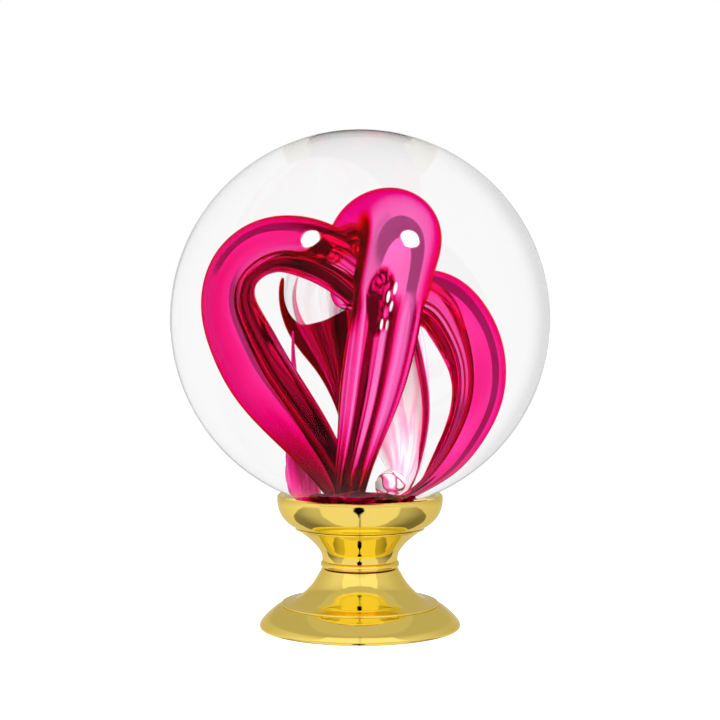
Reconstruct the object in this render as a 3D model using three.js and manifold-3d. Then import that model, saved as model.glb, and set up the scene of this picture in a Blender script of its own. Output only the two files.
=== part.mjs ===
// Newel-post finial: a clear glass ball with pink glass loops inside, in a brass cup on a brass foot.
// Millimetres, +Z up, origin at the centre of the foot's underside.
// The head (ball, cup, neck, stud) unscrews from the foot about Z, on an M8 thread.

import * as THREE from 'three';
import { mergeVertices } from 'three/addons/utils/BufferGeometryUtils.js';
import Module from 'manifold-3d';

const wasm = await Module();
wasm.setup();

// ---- driving dimensions ----
const GAP = 0.3; // clearance left between neighbouring pieces
const BALL_R = 50;
const BALL_Z = 81.4; // height of the ball's centre
const FLAT_Z = 33.2; // ground flat under the ball
const RIM_Z = 35.2; // top of the cup
const CUP_R = 22;
const CUP_BASE_Z = 26.5; // underside of the cup
const FOOT_TOP_Z = 15.4; // parting line between foot and head
const WASHER_T = 0.4;
const NECK_Z = FOOT_TOP_Z + WASHER_T + 2 * GAP; // underside of the neck
const FLANGE_R = 26.6;
const WEB_Z = 4.4; // underside of the flange's clamped web
const WEB_TOP_Z = 5.85;

const STUD_R = 3.85; // M8 stud
const STUD_BORE_R = 4.35;
const STUD_Z = [8.8, 41.0];
const BUSH_Z = [1.2, 14.8];
const BUSH_R = 6;
const ANCHOR_R = 6.5; // insert glued into the ball
const ANCHOR_TOP_Z = 43;
const KNOT_R = 12.2; // gather of glass round the top of the insert
const KNOT_BOTTOM_Z = 38;
const KNOT_TOP_Z = 46.6;
const NUT_AF = 13; // across flats, M8
const NECK_POCKET_R = 8;

const TURNED = 32; // facets round a turned piece
const SMALL_TURNED = 20;
const BALL_FACETS = 32;
const TUBE_SIDES = 8;

// ---- finishes ----
const finish = (color, metalness, roughness) => ({ color, metalness, roughness });
const BRASS = finish(0xd8b64a, 1, 0.12);
const STEEL = finish(0xb9bcc0, 1, 0.35);
const NYLON = finish(0x1c1a18, 0, 0.6);
const CLEAR = finish(0xf4f4f6, 0, 0.02);
const PINK = finish(0xe0106a, 0.9, 0.05);
const DARK_RED = finish(0x7a0524, 0.9, 0.08);
const GLUE = finish(0xe8e8e4, 0, 0.3);

const part = new THREE.Group();

function addPiece(name, geometry, look) {
  const material = new THREE.MeshStandardMaterial({
    color: look.color,
    metalness: look.metalness,
    roughness: look.roughness,
  });
  const mesh = new THREE.Mesh(geometry, material);
  mesh.name = name;
  part.add(mesh);
}

// ---- shape helpers ----

// A closed profile of [radius, z] points turned about Z.
function turned(profile, facets = TURNED) {
  const points = profile.map(([r, z]) => new THREE.Vector2(r, z));
  const onAxis = profile[0][0] === 0 && profile.at(-1)[0] === 0;
  if (!onAxis) points.push(points[0].clone());
  const geometry = new THREE.LatheGeometry(points, facets);
  geometry.rotateX(Math.PI / 2);
  return geometry;
}

function ring(innerR, outerR, bottom, top, facets = SMALL_TURNED) {
  return turned([[innerR, bottom], [outerR, bottom], [outerR, top], [innerR, top]], facets);
}

function hexNut(acrossFlats, boreR, bottom, top) {
  const corner = acrossFlats / Math.sqrt(3);
  const outline = new THREE.Shape();
  for (let i = 0; i < 6; i++) {
    const angle = (i * Math.PI) / 3;
    const point = [corner * Math.cos(angle), corner * Math.sin(angle)];
    if (i === 0) outline.moveTo(...point);
    else outline.lineTo(...point);
  }
  outline.closePath();
  const bore = new THREE.Path();
  bore.absarc(0, 0, boreR, 0, 2 * Math.PI, true);
  outline.holes.push(bore);
  const geometry = new THREE.ExtrudeGeometry(outline, {
    depth: top - bottom,
    bevelEnabled: false,
    curveSegments: SMALL_TURNED / 2,
  });
  return geometry.translate(0, 0, bottom);
}

// A solid tube through points [x, y, z, radius], measured from the ball's centre, with domed ends.
function taperedTube(points, steps, grow = 0, sides = TUBE_SIDES) {
  const curve = new THREE.CatmullRomCurve3(points.map(([x, y, z]) => new THREE.Vector3(x, y, z + BALL_Z)));
  const frames = curve.computeFrenetFrames(steps);
  const positions = [];
  const index = [];
  const domeDepth = 0.6;
  const centres = [];
  const radii = [];
  for (let i = 0; i <= steps; i++) {
    const u = i / steps;
    const along = curve.getUtoTmapping(u) * (points.length - 1);
    const before = Math.min(Math.floor(along), points.length - 2);
    const radius = THREE.MathUtils.lerp(points[before][3], points[before + 1][3], along - before) + grow;
    const centre = curve.getPointAt(u);
    centres.push(centre);
    radii.push(radius);
    for (let k = 0; k < sides; k++) {
      const angle = (2 * Math.PI * k) / sides;
      const rim = centre.clone()
        .addScaledVector(frames.normals[i], radius * Math.cos(angle))
        .addScaledVector(frames.binormals[i], radius * Math.sin(angle));
      positions.push(rim.x, rim.y, rim.z);
    }
  }
  const startTip = centres[0].clone().addScaledVector(frames.tangents[0], -domeDepth * radii[0]);
  const endTip = centres[steps].clone().addScaledVector(frames.tangents[steps], domeDepth * radii[steps]);
  positions.push(startTip.x, startTip.y, startTip.z, endTip.x, endTip.y, endTip.z);
  const startIndex = (steps + 1) * sides;
  const lastRing = steps * sides;
  for (let k = 0; k < sides; k++) {
    const next = (k + 1) % sides;
    for (let i = 0; i < steps; i++) {
      const here = i * sides;
      const ahead = here + sides;
      index.push(here + k, here + next, ahead + k);
      index.push(here + next, ahead + next, ahead + k);
    }
    index.push(startIndex, next, k);
    index.push(startIndex + 1, lastRing + k, lastRing + next);
  }
  const geometry = new THREE.BufferGeometry();
  geometry.setAttribute('position', new THREE.Float32BufferAttribute(positions, 3));
  geometry.setIndex(index);
  return geometry;
}

function toSolid(source) {
  let geometry = source.clone();
  geometry.deleteAttribute('normal');
  geometry.deleteAttribute('uv');
  geometry = mergeVertices(geometry, 1e-4);
  return new wasm.Manifold(new wasm.Mesh({
    numProp: 3,
    vertProperties: new Float32Array(geometry.attributes.position.array),
    triVerts: new Uint32Array(geometry.index.array),
  }));
}

function toGeometry(solid) {
  const mesh = solid.getMesh();
  const geometry = new THREE.BufferGeometry();
  geometry.setAttribute('position', new THREE.Float32BufferAttribute(mesh.vertProperties, 3));
  geometry.setIndex(new THREE.BufferAttribute(mesh.triVerts, 1));
  return geometry;
}

// ---- glass inclusions: centre lines as [x, y, z, radius] from the ball's centre ----
// Earlier entries are whole; each later one is trimmed clear of those before it.
const LOOPS = {
  centre_loop: {
    look: PINK,
    steps: 22,
    line: [
      [-2.1, -5, -36.2, 3.5], [-1.4, -9, -31.5, 4], [-0.2, -13, -25.8, 4.8], [2.2, -16, -15.5, 6.2],
      [4, -18, -5.6, 7], [5.6, -19, 3.8, 7.5], [7.2, -18, 11.3, 7.8], [8.2, -14.5, 16.2, 8],
      [7, -9, 17.9, 7.7], [3.6, -3, 17, 6.9], [0.2, 2, 14, 5.7], [-1.8, 5.5, 9.5, 4.2],
      [-2, 7.5, 4.5, 3],
    ],
  },
  left_loop: {
    look: PINK,
    steps: 20,
    line: [
      [-2.8, -1.5, -36.4, 3.2], [-5, -3, -30.6, 3.8], [-8.4, -4, -24.3, 4.8], [-13.4, -5.5, -17.9, 5.9],
      [-18.6, -6, -11.1, 6.7], [-22.9, -7, -3.7, 6.8], [-25.4, -7, 3.6, 6.3], [-24.3, -7, 9.2, 6.2],
      [-20.2, -7, 13.1, 6.1], [-14.2, -6, 14.3, 5.9], [-8, -4, 12.7, 5.8], [-3.2, -0.5, 9.6, 5.3],
      [0.3, 3, 6, 4.4],
    ],
  },
  right_loop: {
    look: PINK,
    steps: 18,
    line: [
      [7.6, 0.5, -36, 2.2], [11.6, 1, -32, 2.5], [15.2, 3, -26.4, 4], [18, 5, -19.7, 4.9],
      [19.6, 6, -13.5, 5.6], [19.4, 6, -7, 6], [17.2, 6.5, -1.6, 6], [13, 8, 2.8, 5.4], [8, 9.5, 4, 4.5],
    ],
  },
  core_stem: {
    look: DARK_RED,
    steps: 11,
    line: [
      [-0.5, 3, -35, 0.9], [0, 4, -26, 0.7], [0.5, 6, -19, 0.9], [1.5, 8, -12, 1.8], [2.2, 8.5, -5, 3.2],
      [2.8, 8.5, 1.5, 4],
    ],
  },
  rear_goblet: {
    look: CLEAR,
    steps: 13,
    line: [
      [-1.8, 5.5, -24, 0.5], [-2.4, 10.5, -17.5, 0.6], [-3.2, 15.5, -12, 1.3], [-4.2, 17.5, -7, 2.9],
      [-5.8, 19, -1.5, 4.9], [-6.8, 19.5, 3.5, 5.4], [-6.4, 18, 7.5, 5],
    ],
  },
  rear_petal: {
    look: CLEAR,
    steps: 18,
    line: [
      [6.6, 3, -34.5, 1.2], [7, 7, -28, 1.8], [6.8, 13, -22, 3.2], [5.4, 19, -15.4, 4.8],
      [4.3, 22, -9.5, 6], [3.4, 23, -4, 6.2], [2.4, 22, 2, 5.6], [1.6, 19, 6, 4.6],
    ],
  },
  side_spike: {
    look: PINK,
    steps: 10,
    line: [
      [-11.3, 2.5, -34.6, 4.6], [-10.6, 5, -26.2, 3.8], [-10.1, 7, -20.3, 2.4], [-10.4, 8.5, -13.4, 1],
      [-10.9, 9.5, -7.6, 0.45], [-11, 10, -2.2, 0.2],
    ],
  },
};

const DROPLET = { at: [6, -4.5, -32.4], r: 3.1, stretch: 1.25 };

function droplet(grow) {
  const geometry = new THREE.SphereGeometry(DROPLET.r + grow, 10, 6);
  geometry.rotateX(Math.PI / 2);
  geometry.scale(1, 1, DROPLET.stretch);
  const [x, y, z] = DROPLET.at;
  return geometry.translate(x, y, z + BALL_Z);
}

// A cap of glass over the insert, hollow where the insert goes in.
function rootKnot(grow) {
  const socketR = ANCHOR_R + 0.5 - grow;
  const socketZ = ANCHOR_TOP_Z + GAP - grow;
  const bottom = KNOT_BOTTOM_Z - grow;
  return turned([
    [0, socketZ], [socketR, socketZ], [socketR, bottom], [10 + grow, bottom], [KNOT_R + grow, 40.4],
    [KNOT_R - 0.5 + grow, 43], [8 + grow, KNOT_TOP_Z - 1 + grow], [0, KNOT_TOP_Z + grow],
  ]);
}

// The knot comes first, then the loops, then the droplet: each is cut clear of all that went before.
function addInclusions() {
  addPiece('root_knot', rootKnot(0), DARK_RED);
  let taken = toSolid(rootKnot(GAP));
  for (const [name, { look, steps, line }] of Object.entries(LOOPS)) {
    const free = toSolid(taperedTube(line, steps)).subtract(taken);
    const [solid] = free.decompose().sort((a, b) => b.volume() - a.volume());
    addPiece(name, toGeometry(solid), look);
    taken = taken.add(toSolid(taperedTube(line, steps, GAP)));
  }
  addPiece('droplet', toGeometry(toSolid(droplet(0)).subtract(taken)), CLEAR);
  return taken.add(toSolid(droplet(GAP)));
}

// ---- glass ----
function addBall(inclusions) {
  const ball = new THREE.SphereGeometry(BALL_R, BALL_FACETS, BALL_FACETS / 2);
  ball.rotateX(Math.PI / 2);
  ball.translate(0, 0, BALL_Z);
  const belowFlat = turned([[0, 0], [BALL_R, 0], [BALL_R, FLAT_Z], [0, FLAT_Z]], SMALL_TURNED);
  const anchorHole = turned(
    [[0, FLAT_Z - 1], [ANCHOR_R + GAP, FLAT_Z - 1], [ANCHOR_R + GAP, ANCHOR_TOP_Z + 1], [0, ANCHOR_TOP_Z + 1]],
    SMALL_TURNED,
  );
  const glass = toSolid(ball)
    .subtract(toSolid(belowFlat))
    .subtract(toSolid(anchorHole))
    .subtract(inclusions);
  addPiece('glass_ball', toGeometry(glass), CLEAR);
}

// ---- head: everything that turns with the ball ----
function addHead() {
  const pocketTop = 24.4;
  addPiece('neck_stem', turned([
    [NECK_POCKET_R, NECK_Z], [10.3, NECK_Z], [10.45, 16.8], [10.2, 17.4], [10, 18], [10.12, 19.1],
    [11.05, 20.9], [13.05, 23.1], [15.45, 25.1], [17, CUP_BASE_Z - GAP],
    [STUD_BORE_R, CUP_BASE_Z - GAP], [STUD_BORE_R, pocketTop], [NECK_POCKET_R, pocketTop],
  ]), BRASS);

  // The seat follows the ball's sphere, a glue gap away.
  const seat = [];
  const seatFloorZ = FLAT_Z - 2 * GAP - 0.4;
  const seatR = BALL_R + GAP;
  for (const z of [34.4, 33.4]) seat.push([Math.sqrt(seatR ** 2 - (BALL_Z - z) ** 2), z]);
  addPiece('cup_bowl', turned([
    [STUD_BORE_R, CUP_BASE_Z], [17.25, CUP_BASE_Z], [19.7, 28.25], [21.2, 30.4], [21.85, 32.4],
    [CUP_R, 34], [21.8, RIM_Z - 0.3], [21.3, RIM_Z], [20.9, RIM_Z], ...seat,
    [13.6, seatFloorZ], [STUD_BORE_R, seatFloorZ],
  ]), BRASS);

  addPiece('adhesive_pad', ring(STUD_BORE_R + 1, 12.6, FLAT_Z - GAP - 0.4, FLAT_Z - GAP), GLUE);
  addPiece('anchor_bush', turned([
    [STUD_BORE_R, FLAT_Z], [ANCHOR_R, FLAT_Z], [ANCHOR_R, ANCHOR_TOP_Z], [0, ANCHOR_TOP_Z],
    [0, STUD_Z[1] + 0.6], [STUD_BORE_R, STUD_Z[1] + 0.6],
  ], SMALL_TURNED), BRASS);

  const [studBottom, studTop] = STUD_Z;
  const chamfer = 0.8;
  addPiece('tie_rod', turned([
    [0, studBottom], [STUD_R - chamfer, studBottom], [STUD_R, studBottom + chamfer],
    [STUD_R, studTop - chamfer], [STUD_R - chamfer, studTop], [0, studTop],
  ], SMALL_TURNED), STEEL);

  // Clamping stack, read downwards from the top of the neck's pocket.
  const washerZ = [pocketTop - GAP - 1.4, pocketTop - GAP];
  const springZ = [washerZ[0] - GAP - 1.8, washerZ[0] - GAP];
  const nutZ = [springZ[0] - GAP - 3.6, springZ[0] - GAP];
  addPiece('plain_washer', ring(STUD_BORE_R, 7.6, ...washerZ), STEEL);
  addPiece('spring_washer', splitWasher(STUD_BORE_R, 6.6, ...springZ), STEEL);
  addPiece('jam_nut', hexNut(NUT_AF, STUD_BORE_R, ...nutZ), STEEL);
}

// A spring washer is a ring with a narrow cut through one side.
function splitWasher(innerR, outerR, bottom, top) {
  const slit = new THREE.BoxGeometry(outerR * 2, 1.2, (top - bottom) * 2);
  slit.translate(outerR, 0, (top + bottom) / 2);
  return toGeometry(toSolid(ring(innerR, outerR, bottom, top)).subtract(toSolid(slit)));
}

// ---- foot: what stays on the post ----
function addFoot() {
  const boreR = BUSH_R + GAP;
  const pocketR = 8.3;
  const pocketZ = 9.6;
  addPiece('base_flange', turned([
    [22, 0], [FLANGE_R - 0.2, 0], [FLANGE_R, 0.2], [26.5, 0.7], [26.2, 1.3], [25.1, 2.87],
    [24.3, 3.7], [22.7, 4.95], [21.3, WEB_TOP_Z],
    [boreR, WEB_TOP_Z], [boreR, WEB_Z], [20, WEB_Z], [22, 2.6],
  ]), BRASS);

  const flareZ = WEB_TOP_Z + GAP;
  addPiece('foot_flare', turned([
    [boreR, flareZ], [20.8, flareZ], [20.9, 6.4], [20.6, 6.67], [19.4, 6.85], [17.9, 7.22], [16.05, 8.35],
    [14.6, 9.53], [13.2, 10.72], [12.3, 11.95], [11.5, 13.1], [10.85, 14.15], [10.15, FOOT_TOP_Z],
    [pocketR, FOOT_TOP_Z], [pocketR, pocketZ], [boreR, pocketZ],
  ]), BRASS);

  const [bushBottom, bushTop] = BUSH_Z;
  const shoulderZ = WEB_Z - GAP;
  addPiece('foot_bush', turned([
    [STUD_BORE_R, bushBottom], [10.5, bushBottom], [10.5, shoulderZ], [BUSH_R, shoulderZ],
    [BUSH_R, bushTop], [STUD_BORE_R, bushTop],
  ], SMALL_TURNED), STEEL);

  const washerZ = [pocketZ + GAP, pocketZ + GAP + 0.8];
  addPiece('bush_washer', ring(boreR, 8, ...washerZ), STEEL);
  addPiece('bush_nut', hexNut(13.8, boreR, washerZ[1] + GAP, bushTop), STEEL);
}

addFoot();
const slipZ = FOOT_TOP_Z + GAP;
addPiece('neck_washer', ring(STUD_BORE_R + 0.5, 9.9, slipZ, slipZ + WASHER_T, TURNED), NYLON);
addHead();
addBall(addInclusions());

export default part;
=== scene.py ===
"""Looks of a newel-post finial: a clear glass ball with pink glass loops inside, on a polished brass foot."""
import math

import bpy
import numpy as np
from mathutils import Matrix, Vector


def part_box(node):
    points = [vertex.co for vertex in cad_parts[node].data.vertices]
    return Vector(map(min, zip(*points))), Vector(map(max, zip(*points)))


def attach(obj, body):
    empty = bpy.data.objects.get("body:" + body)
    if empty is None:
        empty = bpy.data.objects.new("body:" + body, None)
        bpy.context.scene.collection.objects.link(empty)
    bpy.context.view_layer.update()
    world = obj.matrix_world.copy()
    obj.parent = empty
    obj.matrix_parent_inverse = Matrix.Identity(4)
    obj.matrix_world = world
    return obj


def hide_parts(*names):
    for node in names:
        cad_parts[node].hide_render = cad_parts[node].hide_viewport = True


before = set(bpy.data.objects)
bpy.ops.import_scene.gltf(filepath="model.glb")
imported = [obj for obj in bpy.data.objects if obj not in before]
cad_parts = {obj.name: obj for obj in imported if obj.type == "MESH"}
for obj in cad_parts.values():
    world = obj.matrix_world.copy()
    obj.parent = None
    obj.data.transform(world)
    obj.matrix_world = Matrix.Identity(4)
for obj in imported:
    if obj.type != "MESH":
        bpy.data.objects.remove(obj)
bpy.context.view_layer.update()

# ---- dimensions, in millimetres unless the name says otherwise ----
MM = 0.001
BALL_R = 50.0
FLAT_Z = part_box("glass_ball")[0].z / MM
BALL_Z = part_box("glass_ball")[1].z / MM - BALL_R
ANCHOR_TOP_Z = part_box("anchor_bush")[1].z / MM
ANCHOR_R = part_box("anchor_bush")[1].x / MM

# Holes and pockets hidden inside the brass pieces, and the levels where those pieces and pockets end.
BUSH_HOLE_R = 6.3
FOOT_POCKET_R = 8.3
NECK_POCKET_R = 8.0
NECK_HOLE_R = 4.35
CUP_HOLE_R = 4.4
FLANGE_TOP_Z = 5.86
FLANGE_RECESS_Z = 4.4
FLARE_LOW_Z = 5.9
FLARE_FLOOR_Z = 9.6
FLARE_TOP_Z = 15.5
NECK_LOW_Z = 15.74
NECK_ROOF_Z = 24.4
NECK_TOP_Z = 26.5
CUP_LOW_Z = 26.6
CUP_FLOOR_Z = 32.3

# How finely the shapes are divided.
TURNED_FACETS = 192
TUBE_SIDES = 96
TUBE_STEPS = 190
DOME_ROWS = 7

# Centre lines of the glass inside the ball, as x, y, z from the ball's centre, and radius.
LINES = {
    "centre_loop": [
        (-2.1, -5, -36.2, 3.5), (-1.4, -9, -31.5, 4.0), (-0.2, -13, -25.8, 4.8), (2.2, -16, -15.5, 6.4),
        (4, -18, -5.6, 7.3), (5.6, -19, 3.8, 7.7), (7.2, -18, 11.3, 7.9), (8.2, -14.5, 16.2, 8.1),
        (7, -9, 17.9, 7.8), (3.6, -3, 17, 7), (0.2, 2, 14, 5.8), (-1.8, 5.5, 9.5, 4.2), (-2, 7.5, 4.5, 3),
    ],
    "left_loop": [
        (-2.8, -1.5, -36.4, 3.2), (-5, -3, -30.6, 3.8), (-8.4, -4, -24.3, 4.8), (-13.4, -5.5, -17.9, 5.9),
        (-18.6, -6, -11.1, 6.7), (-22.9, -7, -3.7, 6.8), (-25.4, -7, 3.6, 6.3), (-24.3, -7, 9.2, 6.2),
        (-20.2, -7, 13.1, 6.1), (-14.2, -6, 14.3, 5.9), (-8, -4, 12.7, 5.8), (-3.2, -0.5, 9.6, 5.3),
        (0.3, 3, 6, 4.4),
    ],
    "right_loop": [
        (7.6, 0.5, -36, 2.2), (11.6, 1, -32, 2.5), (15.2, 3, -26.4, 4), (18, 5, -19.7, 4.9),
        (19.6, 6, -13.5, 5.6), (19.4, 6, -7, 6), (17.2, 6.5, -1.6, 6), (13, 8, 2.8, 5.4), (8, 9.5, 4, 4.5),
    ],
    "core_stem": [
        (-0.5, 3, -35, 0.9), (0, 4, -26, 0.7), (0.5, 6, -19, 0.9), (1.5, 8, -12, 1.8), (2.2, 8.5, -5, 3.2),
        (2.8, 8.5, 1.5, 4),
    ],
    "rear_goblet": [
        (-1.8, 5.5, -24, 0.5), (-2.4, 10.5, -17.5, 0.6), (-3.2, 15.5, -12, 1.3), (-4.2, 17.5, -7, 2.9),
        (-5.8, 19, -1.5, 4.9), (-6.8, 19.5, 3.5, 5.4), (-6.4, 18, 7.5, 5),
    ],
    "rear_petal": [
        (6.6, 3, -34.5, 1.2), (7, 7, -28, 1.8), (6.8, 13, -22, 3.2), (5.4, 19, -15.4, 4.8),
        (4.3, 22, -9.5, 6), (3.4, 23, -4, 6.2), (2.4, 22, 2, 5.6), (1.6, 19, 6, 4.6),
    ],
    "side_spike": [
        (-11.3, 2.5, -34.6, 4.6), (-10.6, 5, -26.2, 3.8), (-10.1, 7, -20.3, 2.4), (-10.4, 8.5, -13.4, 1),
        (-10.9, 9.5, -7.6, 0.45), (-11, 10, -2.2, 0.2),
    ],
}
# The deep pink edge of the rear petal, given in the same way.
PETAL_EDGE = [
    (6.9, 3.5, -35.5, 0.3), (8.7, 8, -28, 0.35), (9.8, 12, -21, 0.45), (10.2, 16, -13.5, 0.6),
    (9.2, 18, -7, 0.65), (8.1, 18, -2, 0.6), (7, 17, 3, 0.5),
]
THINNEST_TUBE_R = 0.15
DROPLET_AT = (6, -4.5, -32.4)
DROPLET_R = 3.1
DROPLET_STRETCH = 1.25

# Overlapping lobes of a loop's outline: angle from outwards in degrees, offset and radius as fractions.
FOLDED = [
    (0, 0.27, 0.73), (180, 0.66, 0.36), (156, 0.55, 0.20), (-156, 0.55, 0.20), (172, 0.87, 0.14),
    (-170, 0.86, 0.15),
]
FLUTED = [
    (180, 0.22, 0.74), (-62, 0.60, 0.40), (56, 0.53, 0.47), (2, 0.50, 0.30), (-22, 0.68, 0.12),
    (24, 0.64, 0.10), (-34, 0.52, 0.20),
]


# ---- mesh helpers ----
def lengths(points):
    """How far along a line of points each of them is."""
    return np.concatenate([[0], np.cumsum(np.linalg.norm(np.diff(points, axis=0), axis=1))])


def spline(points, count):
    """Points on a smooth cubic curve through the given points, spaced evenly along it."""
    p = np.array(points, float)
    n = len(p)
    t = lengths(p)
    h = np.diff(t)
    a = np.zeros((n, n))
    b = np.zeros_like(p)
    a[0, 0] = a[-1, -1] = 1
    for i in range(1, n - 1):
        a[i, i - 1 : i + 2] = h[i - 1], 2 * (h[i - 1] + h[i]), h[i]
        b[i] = 6 * ((p[i + 1] - p[i]) / h[i] - (p[i] - p[i - 1]) / h[i - 1])
    m = np.linalg.solve(a, b)

    def at(s):
        i = np.clip(np.searchsorted(t, s, "right") - 1, 0, n - 2)
        u, v, w = (s - t[i])[:, None], (t[i + 1] - s)[:, None], h[i][:, None]
        return (
            (m[i] * v**3 + m[i + 1] * u**3) / (6 * w)
            + (p[i] / w - m[i] * w / 6) * v
            + (p[i + 1] / w - m[i + 1] * w / 6) * u
        )

    fine = np.linspace(0, t[-1], 20 * count)
    length = lengths(at(fine))
    return at(np.interp(np.linspace(0, length[-1], count), length, fine))


def curve(points, count):
    """A spline as a list, to be joined to other stretches of a profile."""
    return [tuple(p) for p in spline(points, count)]


def arc(centre, radius, start, end, count=10):
    """Points of a circular arc in the (radius, height) plane; angles in degrees from outwards."""
    angles = np.radians(np.linspace(start, end, count))
    return [(centre[0] + radius * math.cos(a), centre[1] + radius * math.sin(a)) for a in angles]


def new_object(name, verts, faces, sharp=35):
    """A smooth-shaded mesh object, with edges sharper than an angle in degrees left sharp."""
    mesh = bpy.data.meshes.new(name)
    mesh.from_pydata([tuple(v) for v in verts], [], faces)
    mesh.update()
    mesh.shade_smooth()
    mesh.set_sharp_from_angle(angle=math.radians(sharp))
    obj = bpy.data.objects.new(name, mesh)
    bpy.context.scene.collection.objects.link(obj)
    return obj


def turned(name, profile, closed=True, facets=TURNED_FACETS):
    """A profile of (radius, height) points turned about Z.

    It closes on itself, or its ends are on the axis.
    """
    rows, verts = [], []
    for r, z in profile:
        if r < 1e-6:
            rows.append([len(verts)] * facets)
            verts.append((0, 0, z * MM))
            continue
        rows.append(list(range(len(verts), len(verts) + facets)))
        for k in range(facets):
            angle = 2 * math.pi * k / facets
            verts.append((r * MM * math.cos(angle), r * MM * math.sin(angle), z * MM))
    faces = []
    pairs = list(zip(rows, rows[1:])) + ([(rows[-1], rows[0])] if closed else [])
    for low, high in pairs:
        for k in range(facets):
            j = (k + 1) % facets
            corners = list(dict.fromkeys([low[k], low[j], high[j], high[k]]))
            if len(corners) > 2:
                faces.append(corners)
    return new_object(name, verts, faces)


def smooth(value, low, high):
    """A smooth step from 0 to 1 as the value goes from low to high."""
    t = min(max((value - low) / (high - low), 0), 1)
    return t * t * (3 - 2 * t)


def lobed_radius(theta, lobes):
    """Distance to the outline of overlapping round lobes, in the directions theta."""
    best = np.zeros_like(theta)
    for angle, offset, radius in lobes:
        turn = theta - math.radians(angle)
        under = radius**2 - (offset * np.sin(turn)) ** 2
        reach = offset * np.cos(turn) + np.sqrt(np.maximum(under, 0))
        best = np.maximum(best, np.where(under > 0, reach, 0))
    return best


def lobes_at(lobes, along, twist):
    """The lobes at one place along a tube: the first keeps still, the others twist, sway and swell."""
    placed = [lobes[0]]
    for k, (angle, offset, radius) in enumerate(lobes[1:], 1):
        sway = 6 * math.sin(9 * along + 2.1 * k)
        swell = 1 + 0.07 * math.sin(14 * along + 4 * k)
        placed.append((angle + twist * (along - 0.5) + sway, offset, radius * swell))
    return placed


def tube_frame(path):
    """Centres, tangents, outward and sideways directions along a loop of glass, and its handedness.

    Outward is away from the middle of the loop, and sideways is towards the front.
    """
    centres = (path[:, :3] + np.array([0, 0, BALL_Z])) * MM
    tangents = np.gradient(centres, axis=0)
    tangents /= np.linalg.norm(tangents, axis=1)[:, None]
    middle = centres.mean(axis=0)
    normal = np.linalg.svd(centres - middle)[2][2]
    towards_front = (0.8, -1, 0.1)
    if normal.dot(towards_front) < 0:
        normal = -normal
    outward = np.cross(normal, tangents)
    outward /= np.linalg.norm(outward, axis=1)[:, None]
    if np.sum(outward * (centres - middle)) < 0:
        outward = -outward
    sideways = np.cross(tangents, outward)
    handed = 1
    if np.sum(sideways @ normal) < 0:
        sideways, handed = -sideways, -1
    return centres, tangents, outward, sideways, handed


def glass_mesh(name, verts, folds, faces, coords, handed, sharp):
    """A mesh with UVs, and with its outline's relative radius at each point as the attribute fold."""
    if handed < 0:
        faces = [tuple(reversed(face)) for face in faces]
        coords = [list(reversed(pairs)) for pairs in coords]
    obj = new_object(name, verts, faces, sharp)
    layer = obj.data.uv_layers.new(name="UVMap")
    layer.data.foreach_set("uv", [x for pairs in coords for pair in pairs for x in pair])
    fold = obj.data.attributes.new("fold", "FLOAT", "POINT")
    fold.data.foreach_set("value", folds)
    return obj


def tube(name, line, lobes=None, lobed=None, twist=0.0, roll=None):
    """A tube of varying radius through points (x, y, z, radius) from the ball's centre, with domed ends.

    Lobes shape its outline; the lobed function says how strongly at each place along it, from 0 to 1.
    The roll function turns the outline about the line, in degrees towards the front.
    """
    path = spline(line, TUBE_STEPS)
    centres, tangents, outward, sideways, handed = tube_frame(path)
    last = TUBE_STEPS - 1
    if roll:
        turn = np.radians([roll(i / last) for i in range(TUBE_STEPS)])[:, None]
        cosine, sine = np.cos(turn), np.sin(turn)
        outward, sideways = cosine * outward + sine * sideways, cosine * sideways - sine * outward
    radii = np.maximum(path[:, 3], THINNEST_TUBE_R) * MM
    theta = np.linspace(0, 2 * math.pi, TUBE_SIDES, endpoint=False)
    verts, folds, rows, heights = [], [], [], []

    def add_ring(centre, radius, i, along):
        shape = np.ones(TUBE_SIDES)
        if lobes:
            weight = lobed(along) if lobed else 1
            shape = 1 + weight * (lobed_radius(theta, lobes_at(lobes, along, twist)) - 1)
        rows.append(range(len(verts), len(verts) + TUBE_SIDES))
        heights.append(along)
        for angle, share in zip(theta, shape):
            out = math.cos(angle) * outward[i] + math.sin(angle) * sideways[i]
            verts.append(centre + radius * share * out)
            folds.append(share)

    domes = [math.pi / 2 * row / (DOME_ROWS + 0.5) for row in range(1, DOME_ROWS + 1)]
    for angle in reversed(domes):
        add_ring(centres[0] - tangents[0] * radii[0] * math.sin(angle), radii[0] * math.cos(angle), 0, 0)
    for i in range(TUBE_STEPS):
        add_ring(centres[i], radii[i], i, i / last)
    for angle in domes:
        add_ring(centres[-1] + tangents[-1] * radii[-1] * math.sin(angle), radii[-1] * math.cos(angle), -1, 1)

    faces, coords = [], []
    for low, high, v0, v1 in zip(rows, rows[1:], heights, heights[1:]):
        for k in range(TUBE_SIDES):
            j = (k + 1) % TUBE_SIDES
            u0, u1 = k / TUBE_SIDES, (k + 1) / TUBE_SIDES
            faces.append((low[k], low[j], high[j], high[k]))
            coords.append(((u0, v0), (u1, v0), (u1, v1), (u0, v1)))
    faces.append(tuple(reversed(rows[0])))
    coords.append([(k / TUBE_SIDES, 0) for k in reversed(range(TUBE_SIDES))])
    faces.append(tuple(rows[-1]))
    coords.append([(k / TUBE_SIDES, 1) for k in range(TUBE_SIDES)])
    return glass_mesh(name, verts, folds, faces, coords, handed, 40)


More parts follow.
